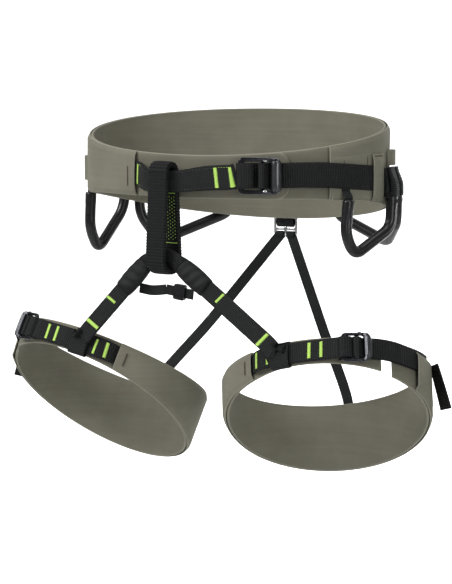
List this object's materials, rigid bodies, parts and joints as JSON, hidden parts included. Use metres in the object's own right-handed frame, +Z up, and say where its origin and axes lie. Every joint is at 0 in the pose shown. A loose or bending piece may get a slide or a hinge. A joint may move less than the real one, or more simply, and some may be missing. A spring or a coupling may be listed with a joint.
{
  "type": "climbing sit harness",
  "caption": "Sit harness of wide laminated bands: closed waist belt, belay loop, adjustable leg loops, gear loops, rear elastics on a metal hook.",
  "frame": {"origin": "centre of the waist belt, half way up its padding", "axes": "+Z up, -Y out of the front where the belay loop is, +X to the wearer's left, where the waist buckle is"},
  "size_m": [0.4848, 0.2383, 0.3554],
  "materials": {
    "laminate": "woven, matt",
    "inner_laminate": "woven mesh, matt",
    "load_sheet": "satin",
    "webbing": "woven nylon, semi-matt",
    "soft_webbing": "woven, matt",
    "moulded_plastic": "glossy",
    "black_alloy": "black anodised, semi-gloss",
    "polished_metal": "brushed"
  },
  "bodies": {
    "waist_belt": {"waist_shell": "laminate", "waist_core": "load_sheet", "waist_liner": "inner_laminate", "waist_strap_keeper": "laminate", "tie_in_strap": "webbing", "waist_strap_live": "webbing", "waist_strap_tail": "webbing", "leg_bridge": "soft_webbing", "gear_tab_front_left": "webbing", "gear_tab_side_left": "webbing", "gear_tab_rear_left": "webbing", "gear_tab_front_right": "webbing", "gear_tab_side_right": "webbing", "gear_tab_rear_right": "webbing", "ice_clipper_sleeve_left": "laminate", "ice_clipper_sleeve_right": "laminate", "rear_anchor_tab": "soft_webbing", "rear_hook": "polished_metal", "rear_elastic_eye_left": "soft_webbing", "rear_elastic_eye_right": "soft_webbing", "connector_strap_left": "soft_webbing", "connector_strap_right": "soft_webbing"},
    "waist_buckle": {"waist_buckle_frame": "black_alloy"},
    "waist_buckle_bar": {"waist_buckle_bar": "black_alloy", "waist_strap_turn": "webbing"},
    "belay_loop": {"belay_loop": "webbing"},
    "haul_loop": {"haul_loop": "soft_webbing"},
    "connector_slider": {"connector_slider": "moulded_plastic"},
    "gear_loop_front_left": {"gear_loop_front_left": "moulded_plastic"},
    "gear_loop_rear_left": {"gear_loop_rear_left": "moulded_plastic"},
    "gear_loop_front_right": {"gear_loop_front_right": "moulded_plastic"},
    "gear_loop_rear_right": {"gear_loop_rear_right": "moulded_plastic"},
    "left_leg": {"left_leg_shell": "laminate", "left_leg_core": "load_sheet", "left_leg_liner": "inner_laminate", "left_leg_strap_fixed": "webbing", "left_leg_strap_live": "webbing", "left_leg_strap_over": "webbing", "left_riser": "webbing", "left_riser_sleeve": "soft_webbing", "left_rear_elastic": "soft_webbing"},
    "left_leg_buckle": {"left_leg_buckle_frame": "black_alloy"},
    "left_leg_buckle_bar": {"left_leg_buckle_bar": "black_alloy", "left_leg_strap_turn": "webbing"},
    "left_leg_tail": {"left_leg_strap_tail": "webbing"},
    "right_leg": {"right_leg_shell": "laminate", "right_leg_core": "load_sheet", "right_leg_liner": "inner_laminate", "right_leg_strap_fixed": "webbing", "right_leg_strap_live": "webbing", "right_leg_strap_over": "webbing", "right_riser": "webbing", "right_riser_sleeve": "soft_webbing", "right_rear_elastic": "soft_webbing"},
    "right_leg_buckle": {"right_leg_buckle_frame": "black_alloy"},
    "right_leg_buckle_bar": {"right_leg_buckle_bar": "black_alloy", "right_leg_strap_turn": "webbing"},
    "right_leg_tail": {"right_leg_strap_tail": "webbing"}
  },
  "joints": [
    {"name": "waist_buckle_tilt", "type": "hinge", "parent": "waist_belt", "child": "waist_buckle", "pos_m": [0.05557, -0.10122, -0.002], "axis": [0, 0, -1], "range_deg": [0, 25]},
    {"name": "waist_buckle_bar_slide", "type": "slide", "parent": "waist_buckle", "child": "waist_buckle_bar", "axis": [-0.9548, -0.2974, 0], "range_m": [0, 0.0022]},
    {"name": "belay_loop_twist", "type": "hinge", "parent": "waist_belt", "child": "belay_loop", "pos_m": [-0.0215, -0.1115, -0.04], "axis": [0, 0, 1], "range_deg": [0, 7]},
    {"name": "gear_loop_front_left_swing", "type": "hinge", "parent": "waist_belt", "child": "gear_loop_front_left", "pos_m": [0.15615, -0.02666, -0.02115], "axis": [-0.3784, -0.9211, -0.0916], "range_deg": [0, 45]},
    {"name": "gear_loop_rear_left_swing", "type": "hinge", "parent": "waist_belt", "child": "gear_loop_rear_left", "pos_m": [0.11592, 0.05787, -0.0265], "axis": [0.7652, -0.6315, 0.125], "range_deg": [0, 40]},
    {"name": "gear_loop_front_right_swing", "type": "hinge", "parent": "waist_belt", "child": "gear_loop_front_right", "pos_m": [-0.15918, 0.02386, -0.0255], "axis": [0.3361, 0.9331, 0.1278], "range_deg": [0, 45]},
    {"name": "gear_loop_rear_right_swing", "type": "hinge", "parent": "waist_belt", "child": "gear_loop_rear_right", "pos_m": [-0.09884, 0.07917, -0.0285], "axis": [0.883, 0.4525, -0.1244], "range_deg": [0, 45]},
    {"name": "haul_loop_swing", "type": "hinge", "parent": "waist_belt", "child": "haul_loop", "pos_m": [0.00624, 0.10412, 0.0295], "axis": [0.9997, -0.024, 0], "range_deg": [0, 75]},
    {"name": "left_leg_swing", "type": "hinge", "parent": "waist_belt", "child": "left_leg", "pos_m": [-0.0215, -0.1115, -0.0788], "axis": [-0.1276, -0.9917, -0.0166], "range_deg": [-5, 20]},
    {"name": "right_leg_swing", "type": "hinge", "parent": "waist_belt", "child": "right_leg", "pos_m": [-0.0215, -0.1115, -0.0788], "axis": [0.1276, 0.9917, 0.0166], "range_deg": [-5, 20]},
    {"name": "left_leg_buckle_tilt", "type": "hinge", "parent": "left_leg", "child": "left_leg_buckle", "pos_m": [0.16664, -0.11348, -0.15656], "axis": [0.209, -0.3652, -0.9072], "range_deg": [0, 25]},
    {"name": "left_leg_buckle_bar_slide", "type": "slide", "parent": "left_leg_buckle", "child": "left_leg_buckle_bar", "axis": [-0.8643, -0.503, 0.0034], "range_m": [0, 0.0012]},
    {"name": "left_leg_tail_swing", "type": "hinge", "parent": "left_leg", "child": "left_leg_tail", "pos_m": [0.22465, -0.02431, -0.19012], "axis": [0.2092, -0.8895, 0.4063], "range_deg": [0, 50]},
    {"name": "right_leg_buckle_tilt", "type": "hinge", "parent": "right_leg", "child": "right_leg_buckle", "pos_m": [-0.16664, -0.11348, -0.15656], "axis": [0.209, 0.3652, 0.9072], "range_deg": [0, 25]},
    {"name": "right_leg_buckle_bar_slide", "type": "slide", "parent": "right_leg_buckle", "child": "right_leg_buckle_bar", "axis": [0.8643, -0.503, 0.0034], "range_m": [0, 0.0012]},
    {"name": "right_leg_tail_swing", "type": "hinge", "parent": "right_leg", "child": "right_leg_tail", "pos_m": [-0.22465, -0.02431, -0.19012], "axis": [0.2092, 0.8895, -0.4063], "range_deg": [0, 50]},
    {"name": "connector_slider_slide", "type": "slide", "parent": "waist_belt", "child": "connector_slider", "axis": [0.9909, -0.0335, -0.1306], "range_m": [-0.006, 0.006]}
  ]
}
